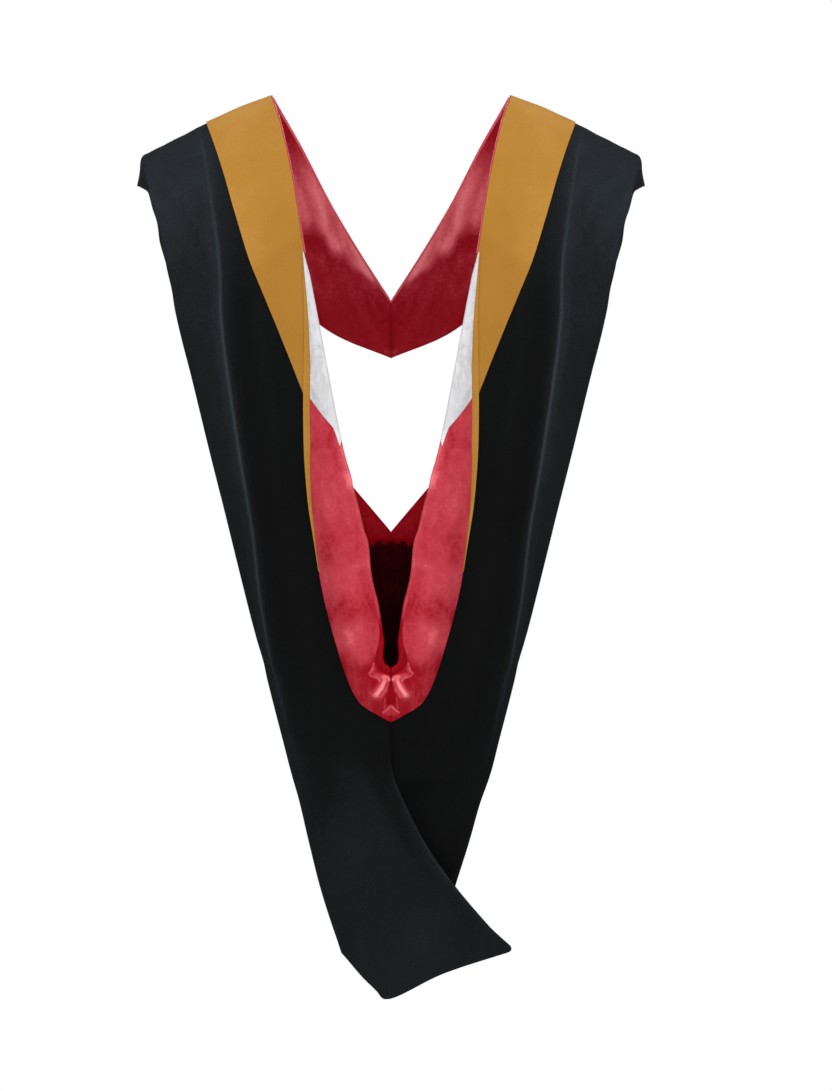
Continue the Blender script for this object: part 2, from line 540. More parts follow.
class Half:
    """The middle surface of one half's shell, as points[row, column] with outward normals."""

    def __init__(self, side, tail):
        self.side = side
        rows = [*FRONT, *BACK, *tail]
        reaches = [(NECK_HALF_WIDTH, FRONT_DROP)] * len(FRONT) + [(NECK_HALF_WIDTH, DROP)] * len(BACK)
        reaches += [(TAIL_SWING, DROP)] * len(tail)
        knots = np.array([controls_of(row, side, *reach) for row, reach in zip(rows, reaches)])
        counts = [ROWS_PER_STEP * row["steps"] for row in rows[:-1]]
        self.row_of = dict(zip([row["name"] for row in rows], np.cumsum([0, *counts])))
        rails = through(knots, steps_between(counts))
        rails[:, 0, 0] = side * np.maximum(side * rails[:, 0, 0], 0)
        self.points = through(rails.swapaxes(0, 1), columns_across()).swapaxes(0, 1)
        self.keep_to_side()
        self.measure()
        self.points = self.points + self.normals * self.relief()[..., None]
        self.keep_to_side()
        self.measure()
        self.lay_out_outer()

    def keep_to_side(self):
        """Keeps the halves from crossing: above the tail everywhere, and near it beside the hem edge."""
        root = self.row_of["below turnout"] + 1
        for part in (self.points[:root], self.points[root:, :ACROSS_STEPS[0] + 1]):
            part[..., 0] = self.side * np.maximum(self.side * part[..., 0], 0)

    def measure(self):
        self.normals = self.side * normals_of(self.points)
        from_hem = lengths_along(self.points, 1)
        self.from_face = from_hem[:, -1:] - from_hem
        self.from_top = lengths_along(self.points, 0)

    def by_section(self, values):
        """A value for each row, in a smooth change between those given for some of the sections."""
        at = [self.row_of[name] for name in values]
        ends = np.pad(np.arange(len(self.points)), BLEND_ROWS, mode="edge")
        plain = np.interp(ends, at, list(values.values()))
        weights = np.hanning(2 * BLEND_ROWS + 3)[1:-1]
        return np.convolve(plain, weights / weights.sum(), mode="valid")[:, None]

    def relief(self):
        """Heights of the folds that all the layers of one half share."""
        along = self.from_top[:, RIDGE_COLUMN][:, None]
        from_ridge = self.from_face[:, RIDGE_COLUMN][:, None] - self.from_face
        heights = bells(from_ridge, CREASE_FOLD) * self.by_section(CREASE_BY_SECTION)
        for height, waves in DRAPES:
            drape = height * ripple(self.from_face, along, *waves)
            heights = heights + drape * self.by_section(DRAPE_BY_SECTION)
        across = self.from_face + SHOULDER_FOLDS.lean * along
        fold = np.sin(2 * np.pi * across / SHOULDER_FOLDS.gap) * fade(self.from_face, *SHOULDER_FOLDS.between)
        heights = heights + fold * SHOULDER_FOLDS.height * self.by_section(SHOULDER_FOLDS_BY_SECTION)
        return heights + bells(self.from_face, SEAM_FOLD) * self.by_section(SEAM_BY_SECTION)

    def on_rows(self, rows, distances, lift):
        """Places on some rows at distances from the face edge, lifted off the shell's middle."""
        placed = []
        for j, wanted in zip(rows, distances):
            known = self.from_face[j, ::-1]
            point = resampled(self.points[j, ::-1], known, wanted)
            normal = resampled(self.normals[j, ::-1], known, wanted)
            placed.append(point + unit(normal) * lift)
        return np.array(placed)

    def shortened(self, rows, stop, lift):
        """Rows of the surface that end at a distance from the face edge, lifted off the shell's middle."""
        whole = self.from_face[rows]
        total = whole[:, :1]
        stop = np.broadcast_to(np.asarray(stop, float).reshape(-1, 1), total.shape)
        return self.on_rows(rows, stop + whole * (total - stop) / total, lift)

    def lay_out_outer(self):
        """The outer cloth of the cowl over a plain grid of x and z, which runs on past the face edge."""
        self.grid_x = np.arange(*OUTER_ACROSS, OUTER_STEP)
        self.grid_z = np.arange(*OUTER_DOWN, -OUTER_STEP)
        crossed = []
        for j in range(self.row_of["shoulder blade"], self.row_of["root of tail"] + 1):
            outer = np.concatenate([self.points[j, OUTER_COLUMN:], self.normals[j, OUTER_COLUMN:]], axis=1)
            beyond = outer[-1] + (outer[-1] - outer[-1 - EDGE_COLUMNS]) * EDGE_RUN_ON
            outer = np.concatenate([outer, [beyond]])[::-1]
            crossed.append(resampled(outer, self.side * outer[:, 0], self.grid_x))
        crossed = np.array(crossed).swapaxes(0, 1)
        columns = [resampled(column, -column[:, 2], -self.grid_z) for column in crossed]
        self.outer = np.array(columns).swapaxes(0, 1)

    def on_outer(self, x, z, lift):
        """The place on the outer cloth at x and z, lifted off the shell's middle."""
        column = np.clip((self.side * x - self.grid_x[0]) / OUTER_STEP, 0, len(self.grid_x) - SHORT_OF_END)
        row = np.clip((self.grid_z[0] - z) / OUTER_STEP, 0, len(self.grid_z) - SHORT_OF_END)
        i, j = column.astype(int), row.astype(int)
        s, t = (column - i)[..., None], (row - j)[..., None]
        upper = lerp(self.outer[j, i], self.outer[j, i + 1], s)
        lower = lerp(self.outer[j + 1, i], self.outer[j + 1, i + 1], s)
        found = lerp(upper, lower, t)
        point = np.stack([x, found[..., 1], z], axis=-1)
        normal = found[..., 3:].copy()
        normal[..., 0] *= fade(np.abs(x), 0, MIDDLE_REACH)
        return point + unit(normal) * np.asarray(lift)[..., None]


def smooth_turnout():
    """TURNOUT as a fine table, smooth from row to row."""
    knots = np.array(TURNOUT, float)[:, None, :]
    return through(knots, np.linspace(0, 1, TURNOUT_STEPS))[:, 0, :]


TURNOUT_CURVE = smooth_turnout()


def turnout_at(down, column):
    return np.interp(down, TURNOUT_CURVE[:, 0], TURNOUT_CURVE[:, TURNOUT_COLUMNS.index(column)])


def binding_at(down):
    """The velvet edge's width at a height: it starts narrow, and narrows to nothing."""
    opening = lerp(BINDING.least, 1, (down - BINDING.start) / (BINDING.full - BINDING.start))
    closing = (BINDING.end - down) / (BINDING.end - BINDING.narrowing)
    return BINDING_WIDTH * np.clip(np.minimum(opening, closing), 0, 1)


def beside_line(across, down, start, end):
    """How far along a line from start to end places are, as a share of it, and how far beyond it."""
    reach = end - start
    along = ((across - start[0]) * reach[0] + (down - start[1]) * reach[1]) / (reach @ reach)
    return along, ((down - start[1]) * reach[0] - (across - start[0]) * reach[1]) / math.hypot(*reach)


def gathered(across, down):
    """Height and tone of the gathers at a place beside the top of the back seam."""
    height = np.zeros_like(across)
    tone = np.zeros_like(across)
    for width, rise, shade, places in GATHERS.values():
        path = np.array(places) * GATHER
        distance = np.full(across.shape, np.inf)
        for start, end in zip(path[:-1], path[1:]):
            share = np.clip(beside_line(across, down, start, end)[0], 0, 1)
            near_across, near_down = (lerp(start[n], end[n], share) for n in (0, 1))
            distance = np.minimum(distance, np.hypot(across - near_across, down - near_down))
        form = bell(distance, width * GATHER)
        height += form * rise * GATHER
        tone += form * shade
    return height, tone


def flap_points(half, down, part, share, short_by):
    """Points and tones of the turned-out lining at heights on the fold. It has three parts: tucked into the
    cowl, rolled over the face edge, and laid on the shell. short_by is what the velvet edge takes of it."""
    face = half.points[half.row_of["shoulder blade"]:half.row_of["below turnout"], -1]
    fold_x = np.interp(down * DROP, -face[:, 2], face[:, 0])
    fold_z = -down * DROP
    reach_x = half.side * turnout_at(down, "width") * TURNOUT_WIDTH
    reach_z = -turnout_at(down, "foot") * DROP - fold_z
    full = np.hypot(reach_x, reach_z)
    width = full - short_by
    reach_x, reach_z = reach_x / full, reach_z / full

    def place(distance, lift):
        return half.on_outer(fold_x + reach_x * distance, fold_z + reach_z * distance, lift)

    bump = fade(ripple(down * DROP, 0, *RIM_BUMPS.waves), *RIM_BUMPS.let_out)
    bump = bump * RIM_BUMPS.height * zone(down, RIM_BUMPS.top, RIM_BUMPS.foot)
    light = RIM_LIGHT.tone * fade(down, *RIM_LIGHT.top)
    light = light * (1 - RIM_LIGHT.dimmed * fade(down, *RIM_LIGHT.foot))
    sunk = fade(down, *ROLL_TONES.sunk)
    if part == "tuck":
        tone = lerp(ROLL_TONES.tucked, LIP_TONE, sunk)
        return place(lerp(TUCK, ROLL_RADIUS - bump, share), LINING_OFFSET), tone
    if part == "roll":
        top = FLAP_OFFSET + FLAP_LIFT
        radius = (top - LINING_OFFSET) / 2
        centre = place(ROLL_RADIUS - bump, LINING_OFFSET + radius)
        out = place(ROLL_RADIUS - bump, top) - centre
        opened = fade(down, TURNOUT_TOP, TURNOUT_TOP + ROLL_OPENING.height)[..., None]
        over = unit(place(-bump, LINING_OFFSET + radius) - centre) * radius
        over = over * lerp(ROLL_OPENING.flat, 1, opened)
        angle = math.pi * share
        shown = fade(share, *ROLL_TONES.around)
        tone = lerp(ROLL_TONES.tucked, ROLL_TONES.shown, shown) + RIM_LIGHT.roll * light * shown
        return centre - out * math.cos(angle) + over * math.sin(angle), lerp(tone, LIP_TONE, sunk)
    distance = lerp(ROLL_RADIUS, width, share) - bump * (1 - share) ** RIM_BUMPS.power
    across = np.abs(fold_x + reach_x * distance)
    below = -(fold_z + reach_z * distance)
    rise = turnout_at(down, "puff") * PUFF * math.sin(math.pi * share) + FLAP_LIFT * (1 - share)
    room = np.clip(rise / FOLD_ROOM, 0, 1) * fade(width - distance, 0, FREE_EDGE_REACH)
    for height, waves in SATIN_FOLDS:
        rise = rise + room * height * ripple(across, below, *waves)
    settled = fade(share, *SETTLING.share) * fade(down, *SETTLING.down)
    rise = rise - settled * (FLAP_OFFSET - SETTLED_OFFSET)
    laid = place(distance, np.maximum(FLAP_OFFSET + rise, SETTLED_OFFSET))
    across, down_seam = across_and_down(laid)
    down_seam = down_seam - TURNOUT_END * DROP
    lip_across, lip_down = np.array(LIP).T * GATHER
    inside = fade(np.interp(down_seam, lip_down, lip_across) - across, *LIP_SOFT) * fade(down_seam, *LIP_TOP)
    height, tone = gathered(across, down_seam)
    tone = tone + FOOT_SHADE.tone * fade(down_seam, *FOOT_SHADE.between)
    tone = lerp(tone, LIP_TONE, inside)
    tone = tone + RIM_LIGHT.flap * light * bell(distance - ROLL_RADIUS, RIM_LIGHT.width)
    for shine_down, shine_share, tall, wide, shine in SHINES:
        spot = bell(share - shine_share, wide) * bell(down - shine_down, tall)
        tone = tone + shine * spot * (1 - inside)
    rise = rise + (height * (1 - inside) - LIP_DEPTH * inside) * fade(distance - ROLL_RADIUS, 0, ROLL_REACH)
    return place(distance, np.maximum(FLAP_OFFSET + rise, SETTLED_OFFSET)), np.maximum(tone, LIP_TONE)


def flap(half, rows, top, foot, tuck_later=0.0, spread=1.0):
    """A grid of the turned-out lining between two lines, each a height for a share of the way from the fold
    to the free edge, with its tones."""
    columns = [("tuck", n / TUCK_STEPS) for n in range(TUCK_STEPS)]
    columns += [("roll", n / ROLL_STEPS) for n in range(ROLL_STEPS)]
    columns += [("flap", n / FLAP_STEPS) for n in range(FLAP_STEPS + 1)]
    share_down = 1 - (1 - np.linspace(0, 1, rows + 1)) ** spread
    points, tones = [], []
    for part, share in columns:
        beyond = {"tuck": -ROLL_SHARE, "roll": -ROLL_SHARE * (1 - share), "flap": share}[part]
        later = tuck_later * (1 - share) if part == "tuck" else 0
        down = lerp(top(beyond) + later, foot(beyond), share_down)
        bound = binding_at(down)
        short_by = np.where(bound > 0, bound + JOIN_GAP, 0)
        column, tone = flap_points(half, down, part, share, short_by)
        points.append(column)
        tones.append(tone)
    return np.array(points).swapaxes(0, 1), np.array(tones).T


def chevron_foot(share):
    """The lower edge of the white, at a share of the way from the fold to the free edge."""
    if share < 0:
        point = 1 + share / ROLL_SHARE
    else:
        point = max(0, 1 - share / CHEVRON_FOOT.point_from) ** 2
    return lerp(CHEVRON_FOOT.fold, CHEVRON_FOOT.edge, max(0, share)) + point * CHEVRON_FOOT.point


def shell(half):
    rows = np.arange(len(half.points))
    setback = EDGE_SETBACK * (1 - fade(rows - half.row_of["top of back seam"], *SETBACK_ENDS))
    grid = half.shortened(rows, setback, 0)
    from_ridge = half.from_face[:, RIDGE_COLUMN][:, None] - half.from_face
    tone = lerp(half.by_section(TONE_OUTSIDE), half.by_section(TONE_INSIDE), fade(from_ridge, *INSIDE_FROM))
    tone = tone + bells(from_ridge, CREASE_GLOW) * half.by_section(TONE_CREASE)
    for (across, down), (wide, tall), shade in CLOTH_SHADES:
        away = np.hypot((grid[..., 0] / HALF_WIDTH - across) / wide, (-grid[..., 2] / DROP - down) / tall)
        tone = tone + shade * bell(away, 1)
    tone[:, :FOLD_COLUMN] += TONE_BEHIND_FOLD
    if half.side == RIGHT:
        tone = tone + half.by_section(TONE_UNDER_TAIL)
    else:
        tone = tone + bells(half.from_face, TAIL_EDGE_TONES) * half.by_section(TAIL_EDGE_BY_SECTION)
    tone = tone + bells(half.from_face, SEAM_TONES) * half.by_section(SEAM_BY_SECTION)
    for edge in (0, -1):
        grid = with_round_corner(grid, CORNER_RADIUS, edge)
    return grid, tone


def with_round_corner(grid, radius, edge):
    """The grid with the corner rounded where its last row meets its first (0) or last (-1) column."""
    inwards = grid[:, ::-1] if edge == -1 else grid
    upwards = inwards[::-1]
    from_edge = lengths_along(upwards, 1)
    from_end = lengths_along(upwards, 0)
    a = np.clip(1 - from_edge / radius, 0, 1)
    b = np.clip(1 - from_end / radius, 0, 1)
    shift_in = (a - a * np.sqrt(1 - b * b / 2)) * radius
    shift_up = (b - b * np.sqrt(1 - a * a / 2)) * radius
    along_row = unit(np.gradient(upwards, axis=1))
    along_column = unit(np.gradient(upwards, axis=0))
    moved = upwards + along_row * shift_in[..., None] + along_column * shift_up[..., None]
    moved = moved[::-1]
    return moved[:, ::-1] if edge == -1 else moved


def velvet_trim(half):
    rows = np.arange(half.row_of["point of hem"])
    trims = {row["name"]: row["trim"] for row in (*FRONT, *BACK) if "trim" in row}
    width = half.by_section(trims)[rows] * TRIM_WIDTH
    distances = lerp(TRIM_START, width, np.linspace(0, 1, TRIM_STEPS + 1)[None, :])
    grid = half.on_rows(rows, distances, TRIM_OFFSET)
    across, down = across_and_down(grid)
    beside = down - VELVET_LIGHT.slope * (across - NECK_HALF_WIDTH)
    tone = VELVET_LIGHT.tone * bell(beside, VELVET_LIGHT.width)
    for shade in VELVET_SHADES:
        start, end = (np.array(shade[key]) * (HALF_WIDTH, DROP) for key in ("start", "end"))
        along, beyond = beside_line(across, down, start, end)
        dark = shade["tone"] * fade(beyond, -shade["soft"], shade["soft"])
        if "along" in shade:
            dark = dark * zone(along, *shade["along"])
        tone = tone + dark
    return grid, tone


def yoke_lining(half):
    rows = np.arange(half.row_of["top of turnout"] + 1)
    inside = half.shortened(rows, EDGE_SETBACK, LINING_OFFSET)
    radii = np.full((len(rows), 1), ROLL_RADIUS)
    centre = half.on_rows(rows, radii, LINING_OFFSET + ROLL_RADIUS)
    inwards = half.on_rows(rows, radii, LINING_OFFSET) - centre
    edge = unit(half.on_rows(rows, 0 * radii, LINING_OFFSET + ROLL_RADIUS) - centre) * ROLL_RADIUS
    angles = np.radians(np.linspace(0, PIPING_TURN, ROLL_STEPS + 1))[None, :, None]
    roll = centre + inwards * np.cos(angles) + edge * np.sin(angles)
    grid = np.concatenate([inside, roll], axis=1)
    tone = neckband_tones(half.from_face[rows], half.from_top[rows], inside)
    return grid, np.concatenate([tone, np.full(roll.shape[:2], PIPING_TONE)], axis=1)


def neckband_tones(from_face, along, points):
    across, down = across_and_down(points)
    reach = lerp(*NECK_LIGHT.reach, fade(down, *NECK_LIGHT.narrowing))
    reach = reach * (1 + NECK_RAGGED.share * ripple(from_face, along, *NECK_RAGGED.waves))
    near = 1 - fade(from_face / reach, *NECK_LIGHT.soft)
    near = near * zone(down, NECK_LIGHT.top, NECK_LIGHT.foot)
    slant = along + NECK_WISPS.slant * from_face
    wisps = ripple(from_face, slant, *NECK_WISPS.waves)
    wisps = wisps + NECK_WISPS.fine * ripple(from_face, slant, *NECK_WISPS.fine_waves)
    tone = lerp(NECK_TONES.dark, NECK_TONES.bright, near)
    tone = tone + lerp(NECK_WISPS.dark, NECK_WISPS.bright, near) * wisps
    tone = tone + NECK_TONES.foot * fade(down, *NECK_TONES.darkening)
    tone = tone + NECK_SEAM.tone * bell(across, NECK_SEAM.width) * fade(down, *NECK_SEAM.starting)
    puckers = bell(from_face[:, :1] - from_face - PUCKERS.from_edge, PUCKERS.width)
    puckers = puckers * bell(across, PUCKERS.reach) * ripple(across, down, *PUCKERS.waves)
    return tone + PUCKERS.tone * puckers * fade(down, *PUCKERS.starting)


def cowl_lining(half):
    rows = np.arange(half.row_of["top of turnout"], half.row_of["below turnout"] + 1)
    total = half.from_face[rows, :1]
    spread = np.linspace(0, 1, COWL_STEPS + 1) ** COWL_SPREAD
    grid = half.on_rows(rows, lerp(total, TUCK + TUCK_CLEARANCE, spread), LINING_OFFSET)
    across, down = across_and_down(grid)
    below = down - POCKET.down * DROP + POCKET.ragged * ripple(across, -down, *POCKET.waves)
    deep = fade(below, -POCKET.soft, POCKET.soft)
    glow = bell(below - POCKET_GLOW.slope * across - POCKET_GLOW.below * DROP, POCKET_GLOW.width)
    black = lerp(*POCKET.black, fade(below, 0, POCKET.deep))
    return grid, lerp(POCKET.red, black, deep) + POCKET_GLOW.tone * glow * deep


def chevron(half):
    top = TURNOUT_TOP + JOIN_GAP / DROP
    return flap(half, CHEVRON_ROWS, lambda share: top, chevron_foot, tuck_later=TUCK_CLEARANCE / DROP)


def turned_lining(half):
    seam = JOIN_GAP / DROP
    return flap(half, COWL_FLAP_ROWS, lambda share: chevron_foot(share) + seam, lambda share: TURNOUT_END,
                spread=FOOT_SPREAD)


def velvet_edge(half):
    last = lerp(BINDING.narrowing, BINDING.end, BINDING.cut)
    down = np.linspace(BINDING.start, last, BINDING_ROWS + 1)
    width = binding_at(down)
    columns = []
    for share in np.linspace(0, 1, BINDING_STEPS + 1):
        points, _ = flap_points(half, down, "flap", 1, width * (1 - share))
        columns.append(points)
    grid = np.array(columns).swapaxes(0, 1)
    dome = np.sin(np.pi * np.linspace(0, 1, BINDING_STEPS + 1))[None, :, None]
    grid = grid + half.side * normals_of(grid) * dome * EDGE_DOME
    return grid, np.full(grid.shape[:2], VELVET_EDGE_TONE)


# Lines added beside each edge of a sheet to round it: distance from the edge and half of the thickness,
# both as shares of the rim's radius. A small cell beside the edge holds them as if it were RIM_CELL radii
# wide.
RIM = ((0, 0), (0.1, 0.5), (0.35, 0.87), (0.7, 1), (2, 1))
RIM_CELL = 3


def rimmed(grid, tone, radius, axis):
    """A grid and its tones with the rim's lines added beside the first and last line of an axis."""
    grid, tone = grid.swapaxes(0, axis), tone.swapaxes(0, axis)
    near, near_tone = [], []
    far, far_tone = [], []
    for distance, _ in RIM:
        for lines, tones, edge, inner in ((near, near_tone, 0, 1), (far, far_tone, -1, -2)):
            step = grid[inner] - grid[edge]
            gap = length(step)
            lines.append(grid[edge] + unit(step) * np.minimum(distance * radius, distance / RIM_CELL * gap))
            tones.append(tone[edge])
    grid = np.concatenate([near, grid[1:-1], far[::-1]])
    tone = np.concatenate([near_tone, tone[1:-1], far_tone[::-1]])
    return grid.swapaxes(0, axis), tone.swapaxes(0, axis)


def wall(name, grid, tone, thickness, side):
    """A closed wall of cloth about a grid of points, as a mesh with its map in metres and its tones."""
    radius = thickness / 2
    for axis in (0, 1):
        grid, tone = rimmed(grid, tone, radius, axis)
    rows, columns = grid.shape[:2]
    profile = [
        np.array([half for _, half in RIM] + [1] * (count - 2 * len(RIM)) + [half for _, half in RIM[::-1]])
        for count in (rows, columns)
    ]
    normals = normals_of(grid) * side
    offsets = normals * (radius * profile[0][:, None] * profile[1][None, :])[..., None]
    outer = np.arange(rows * columns).reshape(rows, columns)
    inner = outer.copy()
    inner[1:-1, 1:-1] = rows * columns + np.arange((rows - 2) * (columns - 2)).reshape(rows - 2, columns - 2)
    vertices = np.concatenate([
        (grid + offsets).reshape(-1, 3),
        (grid - offsets)[1:-1, 1:-1].reshape(-1, 3),
    ])
    quads = []
    for index, turned in ((outer, side > 0), (inner, side < 0)):
        corners = [index[:-1, :-1], index[:-1, 1:], index[1:, 1:], index[1:, :-1]]
        quads.append(np.stack(corners if turned else corners[::-1], axis=-1).reshape(-1, 4))
    quads = np.concatenate(quads)
    mesh = bpy.data.meshes.new(name)
    mesh.from_pydata((vertices * MM).tolist(), [], quads.tolist())
    mesh.shade_smooth()
    place = np.stack([lengths_along(grid, 1), lengths_along(grid, 0)], axis=-1)

    def spread(field):
        return np.concatenate([field.reshape(rows * columns, -1),
                               field[1:-1, 1:-1].reshape((rows - 2) * (columns - 2), -1)])

    layer = mesh.uv_layers.new(name="cloth")
    layer.data.foreach_set("uv", (spread(place)[quads.ravel()] * MM).ravel())
    tones = mesh.attributes.new("tone", "FLOAT", "POINT")
    tones.data.foreach_set("value", spread(tone).ravel())
    return add_object(name, mesh)


# A wave texture's phase in radians for each unit of its scale and place.
WAVE_RATE = 20


def add_object(name, data):
    made = bpy.data.objects.new(name, data)
    bpy.context.scene.collection.objects.link(made)
    return made


class Cloth:
    """A material's node tree, with short ways to add and join its nodes."""

    def __init__(self, name):
        self.material = bpy.data.materials.new(name)
        self.material.use_nodes = True
        self.tree = self.material.node_tree
        self.shader = self.tree.nodes["Principled BSDF"]
        self.place = self.add("ShaderNodeTexCoord")
        place = self.place.outputs["Object"]
        self.folded = self.add("ShaderNodeVectorMath", {0: place}, operation="ABSOLUTE")

    def add(self, kind, sockets=None, **settings):
        node = self.tree.nodes.new(kind)
        for key, value in settings.items():
            setattr(node, key, value)
        self.set_sockets(node, sockets or {})
        return node

    def set_sockets(self, node, sockets):
        """Sets each of a node's sockets to a value, or joins it to the output of another node."""
        for key, value in sockets.items():
            if isinstance(value, bpy.types.NodeSocket):
                self.tree.links.new(value, node.inputs[key])
            else:
                node.inputs[key].default_value = value

    def noise(self, size, detail=3.0, roughness=0.5, stretch=(1, 1, 1), distortion=0.0):
        """Noise with features of a size in metres, the same on both sides of the object's middle."""
        mapped = self.add("ShaderNodeMapping", {"Vector": self.folded.outputs[0], "Scale": stretch})
        sockets = {"Vector": mapped.outputs[0], "Scale": 1 / size, "Detail": detail, "Roughness": roughness,
                   "Distortion": distortion}
        return self.add("ShaderNodeTexNoise", sockets).outputs["Fac"]

    def threads(self, pitch, direction):
        """A wave over the cloth's own map, one for each thread."""
        scale = 2 * math.pi / (WAVE_RATE * pitch)
        sockets = {"Vector": self.place.outputs["UV"], "Scale": scale, "Distortion": 0.6, "Detail": 1.0,
                   "Detail Scale": 2.0}
        return self.add("ShaderNodeTexWave", sockets, bands_direction=direction).outputs["Fac"]

    def math(self, operation, first, second):
        return self.add("ShaderNodeMath", {0: first, 1: second}, operation=operation).outputs[0]

    def bump(self, height, distance, strength, under=None):
        sockets = {"Height": height, "Distance": distance, "Strength": strength}
        if under is not None:
            sockets["Normal"] = under
        return self.add("ShaderNodeBump", sockets).outputs["Normal"]

    def colour(self, value, stops):
        """Base colour for a tone from 0 to 1."""
        ramp = self.add("ShaderNodeValToRGB", {"Fac": value})
        elements = ramp.color_ramp.elements
        for position, colour in stops[1:-1]:
            elements.new(position).color = (*colour, 1)
        elements[0].position, elements[0].color = stops[0][0], (*stops[0][1], 1)
        elements[-1].position, elements[-1].color = stops[-1][0], (*stops[-1][1], 1)
        self.tree.links.new(ramp.outputs["Color"], self.shader.inputs["Base Color"])

    def tone(self, clouds):
        """The piece's own tone about a half, with clouds, each a noise and its depth."""
        value = self.add("ShaderNodeAttribute", attribute_name="tone").outputs["Fac"]
        value = self.math("ADD", value, 0.5)
        for noise, depth in clouds:
            swing = self.math("MULTIPLY", self.math("SUBTRACT", noise, 0.5), depth)
            value = self.math("ADD", value, swing)
        return value

    def finish(self, normal, sockets):
        """Sets the shader's own sockets, and gives the material."""
        self.set_sockets(self.shader, {**sockets, "Normal": normal})
        return self.material


# Base colours for tones from 0 to 1.
BLACKS = (
    (0, (0.001, 0.0011, 0.0012)), (0.3, (0.0032, 0.0035, 0.0034)), (0.55, (0.0085, 0.0102, 0.0115)),
    (1, (0.03, 0.038, 0.047)),
)
GOLDS = ((0, (0.28, 0.112, 0.012)), (0.5, (0.42, 0.2, 0.034)), (1, (0.66, 0.38, 0.13)))
REDS = (
    (0, (0.01, 0.0001, 0.0005)), (0.1, (0.03, 0.0001, 0.001)), (0.17, (0.19, 0.0002, 0.003)),
    (0.28, (0.26, 0.0004, 0.004)), (0.4, (0.325, 0.0075, 0.0155)), (0.5, (0.43, 0.03, 0.045)),
    (0.65, (0.52, 0.055, 0.075)), (0.8, (0.74, 0.13, 0.155)), (1, (0.98, 0.28, 0.31)),
)
WHITES = ((0, (0.34, 0.33, 0.35)), (0.5, (0.62, 0.61, 0.63)), (1, (0.8, 0.8, 0.83)))
# Threads lie this far apart in metres, and satin's are raised this much.
CLOTH_PITCH = 0.0007
SATIN_PITCH = 0.0005
SATIN_THREAD = 0.00006


def black_cloth():
    cloth = Cloth("black_cloth")
    fuzz = cloth.noise(0.0016, detail=2)
    broad = cloth.noise(0.11, detail=2, stretch=(1, 1, 0.5))
    fine = cloth.noise(0.007, detail=3, stretch=(1, 1, 0.4))
    cloth.colour(cloth.tone([(broad, 0.4), (fine, 0.1), (fuzz, 0.35)]), BLACKS)
    weave = cloth.math("ADD", cloth.threads(CLOTH_PITCH, "X"), cloth.threads(CLOTH_PITCH, "Y"))
    normal = cloth.bump(weave, distance=0.00012, strength=0.6)
    slubs = cloth.noise(0.018, stretch=(1, 1, 0.35))
    normal = cloth.bump(slubs, distance=0.0012, strength=0.35, under=normal)
    return cloth.finish(normal, {"Roughness": 0.75, "Specular IOR Level": 0.06, "Sheen Weight": 0.02,
                                 "Sheen Tint": (0.62, 0.78, 1.0, 1), "Sheen Roughness": 0.3})


def gold_velvet():
    cloth = Cloth("gold_velvet")
    nap = cloth.noise(0.0011, detail=2, roughness=0.7)
    cloth.colour(cloth.tone([(cloth.noise(0.05), 0.25), (nap, 0.35)]), GOLDS)
    normal = cloth.bump(nap, distance=0.0006, strength=0.5)
    normal = cloth.bump(cloth.noise(0.022), distance=0.002, strength=0.35, under=normal)
    return cloth.finish(normal, {"Roughness": 0.95, "Specular IOR Level": 0.02, "Sheen Weight": 0.06,
                                 "Sheen Tint": (1.0, 0.75, 0.4, 1), "Sheen Roughness": 0.5})


def red_satin(name="red_satin", gloss=0.3, clouding=1.0):
    """Satin with soft clouds and wisps. clouding is how strong they are, as a share."""
    cloth = Cloth(name)
    clouds = cloth.noise(0.06, detail=2, stretch=(1, 1, 0.8), distortion=0.5)
    wisps = cloth.noise(0.016, detail=6, roughness=0.6, stretch=(1, 1, 0.7), distortion=0.8)
    grain = cloth.noise(0.0035, detail=3)
    cloth.colour(cloth.tone([(clouds, 0.5 * clouding), (wisps, 0.4 * clouding), (grain, 0.16)]), REDS)
    normal = cloth.bump(cloth.threads(SATIN_PITCH, "Y"), distance=SATIN_THREAD, strength=0.5)
    normal = cloth.bump(clouds, distance=0.006, strength=0.3, under=normal)
    normal = cloth.bump(wisps, distance=0.0014, strength=0.3, under=normal)
    rough = cloth.math("ADD", cloth.math("MULTIPLY", wisps, 0.25), 0.3)
    return cloth.finish(normal, {"Roughness": rough, "Specular IOR Level": gloss,
                                 "Specular Tint": (1.0, 0.15, 0.2, 1)})


def white_satin():
    cloth = Cloth("white_satin")
    clouds = cloth.noise(0.04, detail=3, stretch=(1, 1, 0.7), distortion=0.8)
    wisps = cloth.noise(0.012, detail=3, stretch=(1, 1, 0.6), distortion=1.5)
    cloth.colour(cloth.tone([(clouds, 0.5), (wisps, 0.7)]), WHITES)
    normal = cloth.bump(cloth.threads(SATIN_PITCH, "Y"), distance=SATIN_THREAD, strength=0.5)
    normal = cloth.bump(wisps, distance=0.003, strength=0.5, under=normal)
    return cloth.finish(normal, {"Roughness": 0.38, "Specular IOR Level": 0.3})


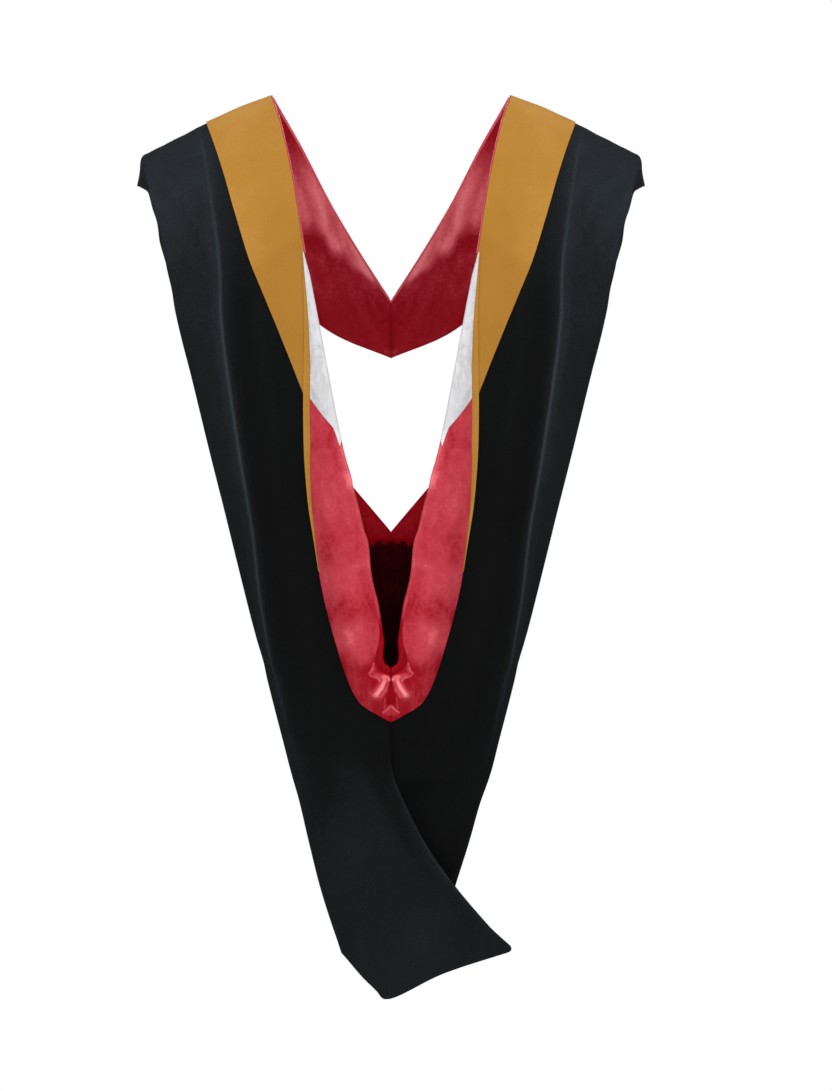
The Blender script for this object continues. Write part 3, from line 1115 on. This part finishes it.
PIECES = [
    dict(name="shell", build=shell, wall=SHELL_WALL, slot="black_cloth", held="draped"),
    dict(name="velvet_trim", build=velvet_trim, wall=TRIM_WALL, slot="gold_velvet", held="laid", on="shell"),
    dict(name="yoke_lining", build=yoke_lining, wall=LINING_WALL, slot="red_satin", held="laid", on="shell",
         finish="plain_satin"),
    dict(name="cowl_lining", build=cowl_lining, wall=LINING_WALL, slot="red_satin", held="laid", on="shell",
         finish="shaded_satin"),
    dict(name="chevron", build=chevron, wall=LINING_WALL, slot="white_satin", held="folded",
         on="velvet_trim"),
    dict(name="velvet_edge", build=velvet_edge, wall=LINING_WALL, slot="gold_velvet", held=None),
    dict(name="turned_lining", build=turned_lining, wall=LINING_WALL, slot="red_satin", held="folded",
         on="shell"),
]


def build_hood():
    finishes = {
        "black_cloth": black_cloth(),
        "gold_velvet": gold_velvet(),
        "red_satin": red_satin(),
        "white_satin": white_satin(),
        "shaded_satin": red_satin("shaded_satin", gloss=0.05, clouding=0.55),
        "plain_satin": red_satin("plain_satin", clouding=0.42),
    }
    for word, half in (("left", Half(LEFT, LEFT_TAIL)), ("right", Half(RIGHT, RIGHT_TAIL))):
        for plan in PIECES:
            node = f"{plan['name']}_{word}"
            grid, tone = plan["build"](half)
            piece = wall(f"{node}_cloth", grid, tone, plan["wall"], half.side)
            piece.data.materials.append(finishes[plan.get("finish", plan["slot"])])
            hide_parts(node)
            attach(piece, "root")
            if plan["held"] is None:
                continue


def build_floor():
    mesh = bpy.data.meshes.new("floor")
    radius, height = FLOOR.radius, FLOOR.height
    turns = np.linspace(0, 2 * np.pi, FLOOR.corners, endpoint=False)
    corners = [(radius * math.cos(turn), radius * math.sin(turn), height) for turn in turns]
    mesh.from_pydata(corners, [], [list(range(len(corners)))])
    pale = Cloth("pale_floor")
    pale.set_sockets(pale.shader, {"Base Color": FLOOR.colour, "Roughness": FLOOR.roughness})
    mesh.materials.append(pale.material)
    add_object("floor", mesh)


def build_world():
    """White behind the object, and an even soft light of less than that on it."""
    world = bpy.data.worlds.new("studio")
    bpy.context.scene.world = world
    world.use_nodes = True
    tree = world.node_tree
    light = tree.nodes["Background"]
    white = tree.nodes.new("ShaderNodeBackground")
    for background, (colour, strength) in ((light, WORLD_LIGHT), (white, WORLD_WHITE)):
        background.inputs["Color"].default_value = colour
        background.inputs["Strength"].default_value = strength
    mix = tree.nodes.new("ShaderNodeMixShader")
    path = tree.nodes.new("ShaderNodeLightPath")
    tree.links.new(path.outputs["Is Camera Ray"], mix.inputs[0])
    tree.links.new(light.outputs[0], mix.inputs[1])
    tree.links.new(white.outputs[0], mix.inputs[2])
    tree.links.new(mix.outputs[0], tree.nodes["World Output"].inputs["Surface"])


def add_softbox(name, place, size, power):
    data = bpy.data.lights.new(name, "AREA")
    data.shape = "RECTANGLE"
    data.size, data.size_y = size
    data.energy = power
    light = add_object(name, data)
    light.location = place
    reach = np.array(LIGHT_TARGET) - np.array(place)
    heading = math.atan2(reach[1], reach[0])
    pitch = math.atan2(reach[2], math.hypot(reach[0], reach[1]))
    light.rotation_euler = (math.pi / 2 + pitch, 0, heading - math.pi / 2)


def build_camera():
    data = bpy.data.cameras.new("camera")
    data.sensor_fit = "VERTICAL"
    data.sensor_height = CAMERA.sensor
    data.lens = CAMERA.lens
    data.shift_x = CAMERA.shift
    camera = add_object("camera", data)
    camera.location = CAMERA.place
    camera.rotation_euler = (math.pi / 2, 0, 0)
    bpy.context.scene.camera = camera


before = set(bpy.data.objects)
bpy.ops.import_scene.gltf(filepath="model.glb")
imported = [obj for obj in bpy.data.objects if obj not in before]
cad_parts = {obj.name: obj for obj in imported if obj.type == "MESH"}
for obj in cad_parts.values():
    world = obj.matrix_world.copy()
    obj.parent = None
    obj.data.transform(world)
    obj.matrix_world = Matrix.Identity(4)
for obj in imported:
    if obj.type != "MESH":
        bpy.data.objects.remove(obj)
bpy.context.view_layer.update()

build_camera()
bpy.context.scene.view_settings.view_transform = "Standard"
build_hood()
build_floor()
build_world()
for softbox in SOFTBOXES:
    add_softbox(*softbox)
